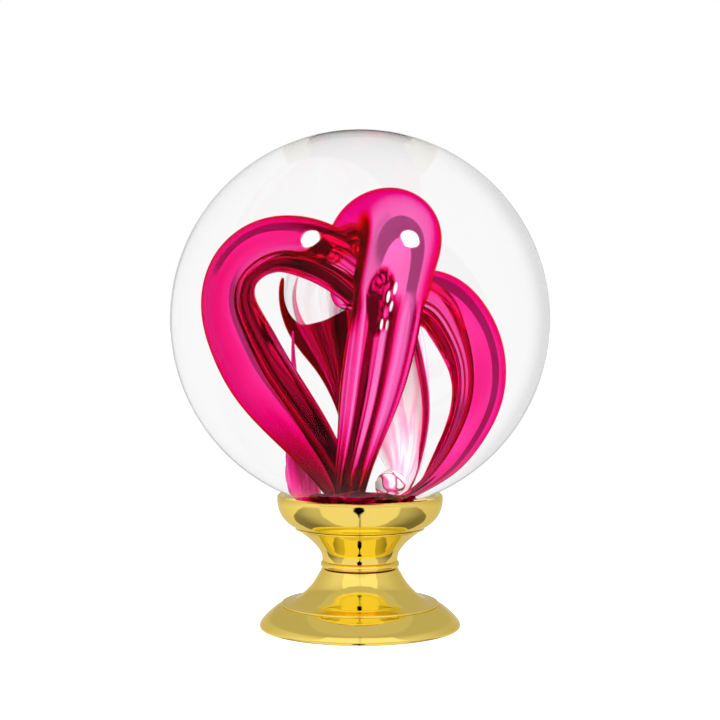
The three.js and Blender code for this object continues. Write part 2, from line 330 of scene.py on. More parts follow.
def patch(name, line, reach):
    """A thin skin on a tube, from its start up to a limit that depends on the direction it faces."""
    steps, sides, thickness = 60, 96, 0.05
    path = spline(line, TUBE_STEPS)
    centres, _, outward, sideways, handed = tube_frame(path)
    last, middle = TUBE_STEPS - 1, TUBE_STEPS // 2
    shares = [row / (steps - 1) for row in range(steps)]
    outer = [(share, 2 * thickness) for share in shares]
    inner = [(share, thickness) for share in reversed(shares)]
    verts, places = [], []
    for share, lift in outer + inner:
        for k in range(sides):
            angle = 2 * math.pi * k / sides
            facing = math.cos(angle) * outward[middle] + math.sin(angle) * sideways[middle]
            along = reach(facing) * share
            i = min(int(along * last), last - 1)
            mix = along * last - i
            centre = centres[i] * (1 - mix) + centres[i + 1] * mix
            radius = (path[i, 3] * (1 - mix) + path[i + 1, 3] * mix + lift) * MM
            out = math.cos(angle) * outward[i] + math.sin(angle) * sideways[i]
            verts.append(centre + radius * out)
            places.append((k / sides, along))

    faces, coords = [], []
    rows = 2 * steps
    for row in range(rows):
        up = (row + 1) % rows
        for k in range(sides):
            j = (k + 1) % sides
            face = (row * sides + k, row * sides + j, up * sides + j, up * sides + k)
            pairs = [places[i] for i in face]
            if j == 0:
                pairs = [pairs[0], (1.0, pairs[1][1]), (1.0, pairs[2][1]), pairs[3]]
            faces.append(face)
            coords.append(pairs)
    return glass_mesh(name, verts, [1.0] * len(verts), faces, coords, handed, 60)


# ---- node helpers: scales of noise are per metre and distances of bump in metres ----
class Graph:
    """Short names for building a node tree: of the world, or of a material with its mat and shader."""

    def __init__(self, tree):
        self.tree = tree

    def node(self, kind, **settings):
        n = self.tree.nodes.new(kind)
        for key, value in settings.items():
            setattr(n, key, value)
        return n

    def feed(self, socket, value):
        if isinstance(value, (int, float, tuple)):
            socket.default_value = value
        else:
            self.tree.links.new(value, socket)

    def fed(self, kind, *values, **settings):
        """The first output of a new node whose first inputs get the values."""
        n = self.node(kind, **settings)
        for socket, value in zip(n.inputs, values):
            self.feed(socket, value)
        return n.outputs[0]

    def maths(self, operation, a, b=0.0, c=0.0):
        return self.fed("ShaderNodeMath", a, b, c, operation=operation)

    def product(self, first, *others):
        for other in others:
            first = self.maths("MULTIPLY", first, other)
        return first

    def total(self, first, *terms):
        """The first value plus the product of each pair that follows."""
        for a, b in terms:
            first = self.maths("MULTIPLY_ADD", a, b, first)
        return first

    def less(self, value, amount):
        return self.maths("SUBTRACT", value, amount)

    def most(self, first, *others):
        for other in others:
            first = self.maths("MAXIMUM", first, other)
        return first

    def size_of(self, value):
        return self.maths("ABSOLUTE", value)

    def ramp(self, value, low, high, start=0.0, end=1.0):
        """A smooth step from start to end as the value goes from low to high."""
        n = self.node("ShaderNodeMapRange", interpolation_type="SMOOTHSTEP")
        self.feed(n.inputs["Value"], value)
        for key, number in (("From Min", low), ("From Max", high), ("To Min", start), ("To Max", end)):
            n.inputs[key].default_value = number
        return n.outputs[0]

    def mixed(self, share, first, second):
        """From the first number to the second as the share goes from 0 to 1."""
        n = self.node("ShaderNodeMix", data_type="FLOAT")
        for socket, value in zip((n.inputs[0], n.inputs[2], n.inputs[3]), (share, first, second)):
            self.feed(socket, value)
        return n.outputs[0]

    def blended(self, share, first, second):
        """From the first shader to the second as the share goes from 0 to 1."""
        return self.fed("ShaderNodeMixShader", share, first, second)

    def colours(self, value, stops):
        """A colour ramp through stops of position and colour."""
        n = self.node("ShaderNodeValToRGB")
        self.feed(n.inputs[0], value)
        elements = n.color_ramp.elements
        elements.remove(elements[1])
        elements[0].position = stops[0][0]
        elements[0].color = (*stops[0][1], 1)
        for position, colour in stops[1:]:
            elements.new(position).color = (*colour, 1)
        return n.outputs[0]

    def levels(self, value, stops):
        """A ramp through stops of position and brightness."""
        return self.colours(value, [(position, (level,) * 3) for position, level in stops])

    def ellipse(self, x, y, centre, half_widths):
        """Squared distance from an ellipse's centre, which is 1 on its outline."""
        beside = self.maths("DIVIDE", self.less(x, centre[0]), half_widths[0])
        above = self.maths("DIVIDE", self.less(y, centre[1]), half_widths[1])
        return self.total(self.product(beside, beside), (above, above))

    def combine(self, x, y, z):
        return self.fed("ShaderNodeCombineXYZ", x, y, z)

    def split(self, vector):
        n = self.node("ShaderNodeSeparateXYZ")
        self.feed(n.inputs[0], vector)
        return n.outputs

    def place_in_object(self):
        return self.node("ShaderNodeTexCoord").outputs["Object"]

    def place_on_tube(self):
        """Cosine and sine of the angle round a tube, and the share of the way along it."""
        around, along, _ = self.split(self.node("ShaderNodeUVMap", uv_map="UVMap").outputs[0])
        angle = self.product(around, 2 * math.pi)
        return self.maths("COSINE", angle), self.maths("SINE", angle), along

    def noise(self, vector, scale, detail=2.0, roughness=0.5, distortion=0.0):
        n = self.node("ShaderNodeTexNoise")
        self.feed(n.inputs["Vector"], vector)
        keys = ("Scale", "Detail", "Roughness", "Distortion")
        for key, number in zip(keys, (scale, detail, roughness, distortion)):
            n.inputs[key].default_value = number
        return n.outputs[0]

    def streaks(self, place_on, across, length, detail, distortion=0.0):
        """Noise drawn out along a tube, with a scale round it and a scale along it."""
        scaled = [self.product(part, scale) for part, scale in zip(place_on, (across, across, length))]
        return self.noise(self.combine(*scaled), 1.0, detail, 0.5, distortion)

    def bump(self, height, distance):
        n = self.node("ShaderNodeBump")
        self.feed(n.inputs["Height"], height)
        n.inputs["Distance"].default_value = distance
        n.inputs["Strength"].default_value = 1.0
        return n.outputs[0]

    def shade(self, value, *sockets):
        """Give a value to sockets of the material's own shader."""
        for socket in sockets:
            self.feed(self.shader.inputs[socket], value)

    def surface(self, shader):
        """Make a shader the material's surface."""
        self.feed(self.tree.nodes["Material Output"].inputs["Surface"], shader)


def material(name, **values):
    """The graph of a new Principled material with the given socket values."""
    mat = bpy.data.materials.new(name)
    mat.use_nodes = True
    g = Graph(mat.node_tree)
    g.mat = mat
    g.shader = mat.node_tree.nodes["Principled BSDF"]
    for key, value in values.items():
        g.shader.inputs[key.replace("_", " ")].default_value = value
    return g


def unshaded_material(name):
    """The graph of a new material that has no shader yet."""
    g = material(name)
    g.tree.nodes.remove(g.shader)
    return g


def clouded_material(name, scale, detail, dark, light, **values):
    """The graph of a material whose colour drifts from dark to light in soft clouds, kept as g.cloud."""
    g = material(name, **values)
    g.cloud = g.noise(g.place_in_object(), scale, detail)
    g.shade(g.colours(g.cloud, [(0.3, dark), (0.7, light)]), "Base Color")
    return g


# ---- metal, plastic and glue ----
def brass_material():
    """Polished, lacquered brass with the faint rings that turning leaves."""
    g = clouded_material("polished_brass", 120.0, 4.0, (0.94, 0.69, 0.145), (0.96, 0.715, 0.165),
                         Metallic=1.0, Specular_Tint=(1.0, 0.9, 0.65, 1))
    x, y, z = g.split(g.place_in_object())
    radius = g.maths("SQRT", g.total(g.product(x, x), (y, y)))
    rings_per_metre = 9000.0
    ring_at = g.combine(g.product(radius, rings_per_metre), 0.0, g.product(z, rings_per_metre))
    rings = g.noise(ring_at, 1.0, 3.0)
    g.shade(g.ramp(g.cloud, 0.4, 0.7, 0.03, 0.06), "Roughness")
    g.shade(g.bump(g.total(rings, (g.cloud, 2.0)), 0.000004), "Normal")
    return g.mat


def plain_brass():
    g = clouded_material("plain_brass", 200.0, 4.0, (0.6, 0.42, 0.12), (0.75, 0.55, 0.2),
                         Metallic=1.0, Roughness=0.3)
    return g.mat


def steel_material():
    g = clouded_material("zinc_steel", 400.0, 4.0, (0.5, 0.5, 0.52), (0.7, 0.71, 0.74), Metallic=1.0)
    g.shade(g.ramp(g.cloud, 0.2, 0.8, 0.25, 0.45), "Roughness")
    return g.mat


def dark_nylon():
    g = clouded_material("black_nylon", 900.0, 3.0, (0.03, 0.02, 0.008), (0.06, 0.04, 0.015), Roughness=0.45)
    g.shade(g.bump(g.cloud, 0.00002), "Normal")
    return g.mat


def glue_material():
    g = clouded_material("cured_glue", 300.0, 3.0, (0.012, 0.002, 0.003), (0.03, 0.006, 0.008), Roughness=0.3)
    g.shade(g.bump(g.cloud, 0.00005), "Normal")
    return g.mat


# ---- glass ----
GLASS_IOR = 1.5


def clear_glass():
    """Polished glass: its outer face mirrors little except at its edge."""
    g = unshaded_material("clear_glass")
    bend = g.node("ShaderNodeBsdfRefraction")
    mirror = g.node("ShaderNodeBsdfAnisotropic")
    inside = g.node("ShaderNodeBsdfGlass")
    for node in (bend, mirror, inside):
        node.inputs["Color"].default_value = (1, 1, 1, 1)
        node.inputs["Roughness"].default_value = 0.0
    fresnel = g.node("ShaderNodeFresnel")
    for node in (bend, inside, fresnel):
        node.inputs["IOR"].default_value = GLASS_IOR
    at_edge = g.maths("POWER", fresnel.outputs[0], 1.6)
    outside = g.blended(at_edge, bend.outputs[0], mirror.outputs[0])
    backfacing = g.node("ShaderNodeNewGeometry").outputs["Backfacing"]
    g.surface(g.blended(backfacing, outside, inside.outputs[0]))
    return g.mat


def trapped_air():
    """Air inside the ball. Its pieces face inwards, so that light bends as it does from glass to air."""
    g = material("inner_clear_glass", Roughness=0.0, IOR=GLASS_IOR, Transmission_Weight=1.0,
                 Base_Color=(1, 0.97, 0.98, 1))
    return g.mat


# Stripes of painted reflection and shade across the front of the centre loop: place from -1 to 1, and depth
# of colour.
REFLECTION_AND_SHADE_STRIPES = [
    (-1, 0.95), (-0.96, 0.7), (-0.87, 0.08), (-0.76, 0.6), (-0.65, 0.0), (-0.55, 0.9), (-0.43, 0.74),
    (-0.32, 0.78), (-0.22, 0.4), (-0.11, 0.62), (-0.04, 0), (0.09, 0), (0.17, 0.68), (0.32, 0.8),
    (0.42, 0.58), (0.53, 0.05), (0.64, 0.3), (0.75, 0.4), (0.87, 0.48), (0.95, 0.95), (1, 1),
]

# A dark patch of painted reflection where those stripes end, and white glints painted in it as highlights, by
# place across from -1 to 1 and share of the way along.
DARK_REFLECTION_AT = (-0.2, 0.49)
DARK_REFLECTION_HALF_WIDTHS = (0.45, 0.07)
GLINTS_AT = [(0.15, 0.526), (0.0, 0.508), (0.15, 0.49), (0.13, 0.45), (-0.07, 0.45)]
GLINT_HALF_WIDTHS = (0.05, 0.012)


def striped_tint(g, place_on, tint, bands, crisp, grain):
    """Depth of colour with painted stripes of reflection and shade on the lower front, painted shade where
    the loop creases above them on the left, and a dark patch of painted reflection.
    """
    cosine, sine, along = place_on
    # painted stripes of reflection and shade across the lower front, deeper still towards the foot
    across = g.total(0.5, (sine, 0.5), (g.less(bands, 0.5), 0.06))
    stripes = g.levels(across, [(0.5 + 0.5 * at, level) for at, level in REFLECTION_AND_SHADE_STRIPES])
    dark_foot = g.ramp(along, 0.26, 0.05)
    stripes = g.total(stripes, (crisp, 0.36), (grain, 0.6), (dark_foot, 0.7))
    lower_front = g.product(g.ramp(cosine, -0.3, 0.0), g.ramp(along, 0.53, 0.47))
    # painted shade where the loop creases above the stripes on its left
    crease_shade = g.product(g.ramp(sine, -0.66, -0.84), g.ramp(along, 0.76, 0.62), g.ramp(along, 0.4, 0.48))
    # the hollow is a dark patch of painted reflection, mottled by a swirl of noise
    hollow = g.ramp(g.ellipse(sine, along, DARK_REFLECTION_AT, DARK_REFLECTION_HALF_WIDTHS), 1.1, 0.7)
    hollow = g.product(hollow, g.ramp(cosine, 0.0, 0.3))
    swirl = g.noise(g.combine(g.product(sine, 5.0), g.product(along, 34.0), 0.0), 1.0, 2.0, 0.6, 1.2)
    tint = g.mixed(lower_front, tint, stripes)
    return g.total(tint, (crease_shade, 0.8), (hollow, g.ramp(swirl, 0.4, 0.6, 0.4, 0.95)))


def glinting(g, place_on, colour):
    """A colour with white glints painted on it as highlights."""
    cosine, sine, along = place_on
    for centre in GLINTS_AT:
        spot = g.ramp(g.ellipse(sine, along, centre, GLINT_HALF_WIDTHS), 1.2, 0.6)
        mix = g.node("ShaderNodeMix", data_type="RGBA")
        g.feed(mix.inputs[0], g.product(spot, g.ramp(cosine, 0.0, 0.3)))
        g.feed(mix.inputs[6], colour)
        g.feed(mix.inputs[7], (1.0, 1.0, 1.0, 1.0))
        colour = mix.outputs[2]
    return colour


def drawn_glass(name, stops, depth, edge, striped=False, root=0.33, end=0.0):
    """Coloured glass drawn out along its length: streaks run with it, and painted shade deepens its colour in
    its folds, on the faces turned into the loop and along its edges.

    Stops are its colours from light to deep, depth is where on them it starts, and edge is its colour at a
    glancing angle. Root and end say how much deeper it is towards its two ends.
    """
    g = material(name, Metallic=1.0, Specular_Tint=(*edge, 1))
    place_on = cosine, sine, along = g.place_on_tube()
    broad = g.streaks(place_on, 1.3, 3.0, 1.0)
    bands = g.streaks(place_on, 6.0, 0.8, 0.0)
    fine = g.streaks(place_on, 17.0, 0.9, 2.0)
    crisp = g.ramp(bands, 0.42, 0.58, -0.5, 0.5)
    grain = g.less(fine, 0.5)

    # painted shade: where it faces the middle of the loop, where its outline turns away, along its edges and
    # in its folds
    inner = g.ramp(cosine, -0.02, -0.22)
    hidden = g.ramp(cosine, -0.3, -0.8)
    rim = g.ramp(cosine, 0.25, 0.95)
    if striped:
        inner = hidden = g.product(hidden, g.ramp(along, 0.62, 0.5))
        rim = g.product(g.ramp(g.size_of(sine), 0.75, 1.0), g.ramp(along, 0.7, 0.55, 0.45, 1.0))
    fold = g.ramp(g.node("ShaderNodeAttribute", attribute_name="fold").outputs["Fac"], 0.99, 0.6)
    far_end = g.product(g.ramp(along, 0.74, 0.84), g.ramp(bands, 0.46, 0.54))

    tint = g.total(
        depth, (inner, 0.3), (hidden, 0.1), (fold, 0.2), (rim, 0.4), (g.less(broad, 0.5), 0.35),
        (crisp, g.product(inner, 0.34)), (grain, g.total(0.08, (inner, 0.7))),
        (g.ramp(along, 0.4, 0.05), root), (far_end, end),
    )
    if striped:
        tint = striped_tint(g, place_on, tint, bands, crisp, grain)
    colour = g.colours(tint, stops)
    g.shade(glinting(g, place_on, colour) if striped else colour, "Base Color")
    g.shade(g.ramp(fine, 0.3, 0.8, 0.012, 0.04), "Roughness")
    g.shade(g.bump(g.product(fine, g.maths("ADD", inner, 0.05)), 0.00003), "Normal")
    return g.mat


def milky_glass(name, stops, across, length, glow):
    """Opal glass with colour drawn through it along its length, lit from within by a painted glow."""
    g = material(name, Roughness=0.12, Specular_IOR_Level=0.12, Emission_Strength=glow)
    cloud = g.streaks(g.place_on_tube(), across, length, 2.0, 0.6)
    g.shade(g.colours(cloud, stops), "Base Color", "Emission Color")
    return g.mat


def painted_bubble_glass():
    """A clear bubble painted as a bead of opal glass, with a painted glow: a white painted highlight, pink
    and grey painted reflections and painted shade at its edge.
    """
    g = material("painted_bubble_glass", Roughness=0.08, Emission_Strength=0.3)
    swirl = g.noise(g.place_in_object(), 120.0, 0.0, 0.5, 2.6)
    # white paints the highlight, pink and the pale greys paint reflections, near-black paints shade at the
    # edge
    stops = [
        (0.4, (0.97, 0.94, 0.95)), (0.46, (0.95, 0.3, 0.6)), (0.51, (0.8, 0.01, 0.2)),
        (0.54, (0.06, 0.0, 0.01)), (0.57, (0.8, 0.78, 0.74)), (0.7, (0.7, 0.68, 0.64)),
    ]
    g.shade(g.colours(swirl, stops), "Base Color", "Emission Color")
    return g.mat


def root_glass():
    """The dark gather at the root, nearly black with wine-red veins."""
    g = material("root_glass", Roughness=0.3, Specular_IOR_Level=0.0)
    veins = g.noise(g.place_in_object(), 260.0, 4.0, 0.6, 1.5)
    stops = [(0.42, (0.02, 0.0, 0.002)), (0.54, (0.12, 0.0, 0.012)), (0.64, (0.4, 0.0, 0.03))]
    g.shade(g.colours(veins, stops), "Base Color")
    g.shade(g.bump(veins, 0.0004), "Normal")
    return g.mat


# Colours of the glass, from light to deep.
PINK_STOPS = [
    (0.0, (1.0, 0.19, 0.56)), (0.18, (1.0, 0.10, 0.45)), (0.36, (1.0, 0.02, 0.28)), (0.52, (0.9, 0.0, 0.18)),
    (0.68, (0.6, 0.0, 0.06)), (0.84, (0.33, 0.0, 0.022)), (1.0, (0.12, 0.0, 0.006)),
]
RED_STOPS = [
    (0.0, (0.95, 0.12, 0.42)), (0.2, (0.8, 0.01, 0.16)), (0.5, (0.45, 0.0, 0.035)), (1.0, (0.10, 0.0, 0.004)),
]
PALE_STOPS = [
    (0.3, (0.76, 0.81, 0.76)), (0.42, (0.93, 0.91, 0.92)), (0.51, (0.97, 0.64, 0.77)),
    (0.67, (0.95, 0.38, 0.6)),
]
# hot pink's near-white last stop paints white highlight streaks
HOT_PINK_STOPS = [
    (0.3, (0.25, 0.0, 0.03)), (0.42, (0.5, 0.0, 0.1)), (0.56, (0.66, 0.002, 0.2)), (0.7, (0.75, 0.02, 0.3)),
    (0.74, (1.0, 0.8, 0.9)),
]

BRASS = brass_material()
PLAIN_BRASS = plain_brass()
STEEL = steel_material()
NYLON = dark_nylon()
GLUE = glue_material()
CLEAR = clear_glass()
AIR = trapped_air()
PINK = drawn_glass("pink_glass", PINK_STOPS, 0.0, (0.8, 0.0, 0.16), root=0.12)
FLUTED_PINK = drawn_glass("fluted_pink_glass", PINK_STOPS, 0.12, (0.8, 0.0, 0.14), striped=True)
DEEP_PINK = drawn_glass("deep_pink_glass", PINK_STOPS, 0.13, (0.62, 0.0, 0.1), root=0.4, end=0.34)
GOBLET = drawn_glass("goblet_glass", PINK_STOPS, 0.5, (0.6, 0.0, 0.06), root=0.1)
DARK_RED = drawn_glass("dark_red_glass", RED_STOPS, 0.3, (0.7, 0.0, 0.02))
PALE = milky_glass("pale_glass", PALE_STOPS, 2.2, 3.0, 0.22)
HOT_PINK = milky_glass("hot_pink_glass", HOT_PINK_STOPS, 2.6, 1.0, 0.15)
ROOT = root_glass()
PAINTED_BUBBLE = painted_bubble_glass()


def place(obj, body, node, mat):
    """Make an object a piece of a body, in place of a CAD node, with a material and that material's slot."""
    obj.data.materials.append(mat)
    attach(obj, body)
    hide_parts(node)


# ---- foot, washer, neck and cup ----
def build_flange():
    edge = [(22.4, 0.25), (22.7, 0.0), (26.5, 0.0), (26.6, 0.1)]
    outside = curve([
        (26.62, 0.15), (26.62, 0.7), (26.3, 1.35), (25.0, 2.87), (24.1, 3.7), (22.6, 4.92), (21.6, 5.57),
        (21.02, FLANGE_TOP_Z),
    ], 50)
    inside = [
        (20.9, FLANGE_TOP_Z), (BUSH_HOLE_R, FLANGE_TOP_Z), (BUSH_HOLE_R, FLANGE_RECESS_Z),
        (20.0, FLANGE_RECESS_Z), (22.0, 2.6),
    ]
    place(turned("flange_skin", edge + outside + inside), "foot", "base_flange", BRASS)


def build_flare():
    ridge = [(20.8, FLARE_LOW_Z)] + arc((20.55, 6.1), 0.36, -35, 75, 14)
    sweep = curve([
        (20.5, 6.47), (19.3, 6.56), (18.2, 6.72), (17.15, 7.1), (16.2, 7.72), (15.3, 8.5), (14.3, 9.45),
        (13.3, 10.5), (12.5, 11.5), (11.7, 12.7), (10.95, 14.0), (10.15, 15.4),
    ], 70)
    inside = [
        (9.9, FLARE_TOP_Z), (FOOT_POCKET_R, FLARE_TOP_Z), (FOOT_POCKET_R, FLARE_FLOOR_Z),
        (BUSH_HOLE_R, FLARE_FLOOR_Z), (BUSH_HOLE_R, FLARE_LOW_Z),
    ]
    place(turned("flare_skin", ridge + sweep + inside), "foot", "foot_flare", BRASS)


def build_slip_washer():
    inner_r, outer_r, low, high = 4.9, 9.5, 15.53, 15.68
    profile = [(inner_r, low), (outer_r, low), (outer_r, high), (inner_r, high)]
    place(turned("slip_washer_ring", profile), "slip_washer", "neck_washer", NYLON)


def build_neck():
    bead_r = 0.9
    bead = arc((9.55, NECK_LOW_Z + bead_r), bead_r, -90, 85, 24)
    scotia = curve([
        (9.98, 17.7), (10.0, 18.3), (10.12, 19.1), (10.48, 20.0), (11.05, 20.9), (12.0, 22.05),
        (13.05, 23.1), (14.2, 24.1), (15.45, 25.1), (16.65, 25.95),
    ], 60)
    lip = arc((16.95, 26.22), 0.26, -80, 80, 8)
    inside = [
        (16.7, NECK_TOP_Z), (NECK_HOLE_R, NECK_TOP_Z), (NECK_HOLE_R, NECK_ROOF_Z),
        (NECK_POCKET_R, NECK_ROOF_Z), (NECK_POCKET_R, NECK_LOW_Z),
    ]
    place(turned("neck_skin", bead + scotia + lip + inside), "head", "neck_stem", BRASS)


def build_cup():
    bowl = curve([
        (17.25, CUP_LOW_Z), (18.5, 27.25), (19.7, 28.25), (20.6, 29.3), (21.22, 30.4), (21.62, 31.4),
        (21.85, 32.4), (21.98, 33.4), (22.02, 34.3),
    ], 60)
    rim = arc((21.32, 34.5), 0.7, 0, 90, 14)
    seat = [
        (19.8, 35.3), (18.0, 34.62), (15.1, 33.6), (13.5, 33.05), (12.0, CUP_FLOOR_Z),
        (CUP_HOLE_R, CUP_FLOOR_Z), (CUP_HOLE_R, CUP_LOW_Z),
    ]
    place(turned("cup_skin", bowl + rim + seat), "head", "cup_bowl", BRASS)


# ---- ball and what is inside it ----
def build_ball():
    gap = 0.3
    hole_r, hole_top = ANCHOR_R + gap, ANCHOR_TOP_Z + gap
    flat_angle = math.degrees(math.asin((FLAT_Z - BALL_Z) / BALL_R))
    sphere = arc((0, BALL_Z), BALL_R, flat_angle, 90, 220)
    sphere[-1] = (0, BALL_Z + BALL_R)
    profile = [(0, hole_top), (hole_r, hole_top), (hole_r, FLAT_Z)] + sphere
    ball = turned("ball_glass", profile, closed=False, facets=256)
    place(ball, "head", "glass_ball", CLEAR)
    return ball


def fluted_below(along):
    """The centre loop is fluted on its lower half and round above."""
    return 1 - smooth(along, 0.47, 0.53)


def build_loops():
    """The loops, stem, spike, goblet and petal: material, lobes, where lobed, twist and roll of each."""
    shapes = {
        "left_loop": (DEEP_PINK, FOLDED, None, 14.0, lambda along: 30 * smooth(along, 0.5, 0.8)),
        "right_loop": (PINK, FOLDED, None, -14.0, lambda along: 46),
        "centre_loop": (FLUTED_PINK, FLUTED, fluted_below, 10.0, lambda along: -18),
        "core_stem": (DARK_RED, FLUTED, None, 200.0, None),
        "side_spike": (HOT_PINK, FOLDED, None, 60.0, None),
        "rear_goblet": (AIR, None, None, 0.0, None),
        "rear_petal": (PALE, None, None, 0.0, None),
    }
    for node, (mat, *shape) in shapes.items():
        obj = tube(node + "_glass", LINES[node], *shape)
        if mat is AIR:
            obj.data.flip_normals()
        place(obj, "head", node, mat)


def goblet_reach(facing):
    """How far up the goblet its colour goes: low in front, and up to a point on its left."""
    left, right, front = max(-facing[0], 0), max(facing[0], 0), max(-facing[1], 0)
    usual, point, dip, rise = 0.77, 0.21, 0.03, 0.02
    return usual + point * left**9 - dip * front**2 + rise * right


def build_droplet():
    half_round = arc((0, 0), DROPLET_R, -90, 90, 40)
    profile = [(max(r, 0), h * DROPLET_STRETCH) for r, h in half_round]
    obj = turned("droplet_glass", profile, closed=False, facets=48)
    obj.data.transform(Matrix.Translation((Vector(DROPLET_AT) + Vector((0, 0, BALL_Z))) * MM))
    place(obj, "head", "droplet", PAINTED_BUBBLE)


def build_root():
    """The uneven gather that the loops grow from, hollow where it covers the threaded insert."""
    gap = 0.5
    hole_r, hole_top = ANCHOR_R + gap, ANCHOR_TOP_Z + gap
    hole = [(0, hole_top), (hole_r, hole_top), (hole_r, 37.4), (9.5, 37.2)]
    dome = curve([
        (10.4, 37.6), (11.8, 38.8), (12.7, 40.6), (12.4, 42.6), (11, 44.4), (8, 45.6), (4, 46.2), (0, 46.4),
    ], 50)
    dome[-1] = (0, dome[-1][1])
    obj = turned("root_gather", hole + dome, closed=False, facets=120)
    margin = 0.1
    for vert in obj.data.vertices:
        x, y, z = vert.co / MM
        if math.hypot(x, y) > hole_r + margin or z > hole_top + margin:
            turn = math.atan2(y, x)
            wave = 1 + 0.06 * math.sin(5 * turn + 0.9 * z) + 0.04 * math.sin(9 * turn - 0.6 * z)
            vert.co.x *= wave
            vert.co.y *= wave
    place(obj, "head", "root_knot", ROOT)


def finish_hidden_parts():
    """Materials for the working parts inside, which keep their CAD shape."""
    looks = {
        STEEL: [
            "tie_rod", "plain_washer", "spring_washer", "jam_nut", "foot_bush", "bush_washer", "bush_nut",
        ],
        PLAIN_BRASS: ["anchor_bush"],
        GLUE: ["adhesive_pad"],
    }
    for mat, names in looks.items():
        for name in names:
            slots = bpy.data.objects[name].data.materials
            slots.clear()
            slots.append(mat)


build_flange()
build_flare()
build_slip_washer()
build_neck()
build_cup()
BALL = build_ball()
build_loops()
place(patch("goblet_colour", LINES["rear_goblet"], goblet_reach), "head", "rear_goblet", GOBLET)
place(tube("petal_edge", PETAL_EDGE), "head", "rear_petal", DEEP_PINK)
build_droplet()
build_root()
finish_hidden_parts()


# ---- stage: the floor, card, lamps and camera are given in metres ----
def only_mirrored(obj):
    """Hide an object from all but mirrored rays."""
    obj.visible_camera = obj.visible_diffuse = obj.visible_transmission = obj.visible_shadow = False


def build_floor():
    half = 3
    corners = [(-half, -half, 0), (half, -half, 0), (half, half, 0), (-half, half, 0)]
    obj = new_object("floor", corners, [(0, 1, 2, 3)])
    g = material("floor_white", Roughness=0.8, Base_Color=(0.6, 0.6, 0.6, 1), Emission_Color=(1, 1, 1, 1),
                 Emission_Strength=0.75)
    obj.data.materials.append(g.mat)
    obj.visible_glossy = False
    obj.visible_transmission = False


def build_card():
    """A dark card above and behind, which the top of the ball catches at its edge."""
    back, low, high = 0.15, 0.135, 0.255
    low_half, high_half = 0.010, 0.055
    corners = [
        (-low_half, back, low), (low_half, back, low), (high_half, back, high), (-high_half, back, high),
    ]
    obj = new_object("dark_card", corners, [(0, 1, 2, 3)])
    obj.data.materials.append(material("dark_card", Roughness=1.0, Base_Color=(0.01, 0.01, 0.01, 1)).mat)
    only_mirrored(obj)


def veil_material():
    """A soft glow that lets mirrored rays from within pass out, except low down by the foot."""
    g = unshaded_material("veil")
    glow = g.fed("ShaderNodeEmission", (1.0, 1.0, 1.0, 1.0), 0.62)
    height = g.split(g.place_in_object())[2]
    open_above = g.ramp(height, 45 * MM, 52 * MM)
    share = g.product(g.node("ShaderNodeNewGeometry").outputs["Backfacing"], open_above)
    g.surface(g.blended(share, glow, g.node("ShaderNodeBsdfTransparent").outputs[0]))
    return g.mat


def build_veil():
    """A pale shell round the ball's lower half, which the foot mirrors in place of the glass above it."""
    clearance, low, sides, rows = 0.4, 36.2, 96, 24
    radius = BALL_R + clearance
    start = math.degrees(math.asin((low - BALL_Z) / radius))
    turns = [2 * math.pi * k / sides for k in range(sides)]
    profile = arc((0, BALL_Z), radius, start, 0, rows)
    verts = [(r * MM * math.cos(a), r * MM * math.sin(a), z * MM) for r, z in profile for a in turns]
    faces = []
    for first in range(0, (rows - 1) * sides, sides):
        for k in range(sides):
            j = (k + 1) % sides
            faces.append((first + k, first + j, first + sides + j, first + sides + k))
    obj = new_object("veil", verts, faces)
    obj.data.materials.append(veil_material())
    only_mirrored(obj)


# Brightness of the studio round the object: share of a half turn away from the camera's side, and level.
WALL = [(0.3, 0.87), (0.4, 0.83), (0.5, 0.76), (0.62, 0.65), (0.75, 0.59), (1, 0.64)]
TABLE = [(0.3, 0.9), (0.5, 0.84), (0.62, 0.78), (0.75, 0.72), (1, 0.64)]
TO_DEGREES = 180 / math.pi


def outer_studio(g, x, azimuth, height):
    """What the brass and the ball's own surface mirror; azimuth and height are in degrees."""
    aside = g.size_of(azimuth)
    turn = g.product(aside, 1 / 180)

    # walls that are darker high up, and a table in the shadow of the object
    wall = g.less(g.levels(turn, WALL), g.ramp(height, 35.0, 60.0, 0.0, 0.22))
    shadow_top = g.total(-10.0, (g.most(g.less(aside, 85.0), 0.0), -0.5))
    shadow = g.maths("ADD", g.ramp(aside, 62.0, 115.0, 0.58, 0.27), g.ramp(height, -15.0, -50.0, 0.0, -0.08))
    table = g.mixed(g.ramp(g.less(shadow_top, height), 0.0, 2.0), g.levels(turn, TABLE), shadow)
    lean = g.total(1.0, (x, -0.09))
    sides = g.product(g.mixed(g.ramp(height, -11.0, -7.0), table, wall), lean)

    # a bright opening in front, and a darker roof with a curved edge
    opening = g.maths("ADD", g.ramp(height, -9.0, -6.0, 0.9, 0.7), g.ramp(height, 9.0, 13.0, 0.0, 0.38))
    around = g.mixed(g.ramp(aside, 59.5, 56.0), sides, opening)
    roof_edge = g.total(62.0, (g.product(aside, aside), -0.0022))
    roofed = g.mixed(g.ramp(g.less(height, roof_edge), 0.0, 6.0), around, 0.52)
    brightness = 1.04
    return g.product(roofed, brightness)


def inner_studio(g, x, front, elevation):
    """What light inside the ball comes from: a sharp panel in front, a grey ring and a pale back."""
    panel = g.ramp(elevation, 0.1, 0.9, 0.98, 1.2)
    left_glow = g.product(g.ramp(x, -0.3, -0.7), g.ramp(elevation, 0.5, 0.2))
    ring = g.total(0.36, (g.most(left_glow, g.ramp(elevation, -0.25, -0.6)), 0.5))
    left_shade = g.product(g.ramp(x, -0.3, -0.75), g.ramp(front, -0.7, -0.4))
    back = g.total(0.945, (left_shade, -0.22))
    rest = g.mixed(g.ramp(front, -0.24, -0.28), ring, back)
    return g.mixed(g.ramp(front, 0.53, 0.57), rest, panel)


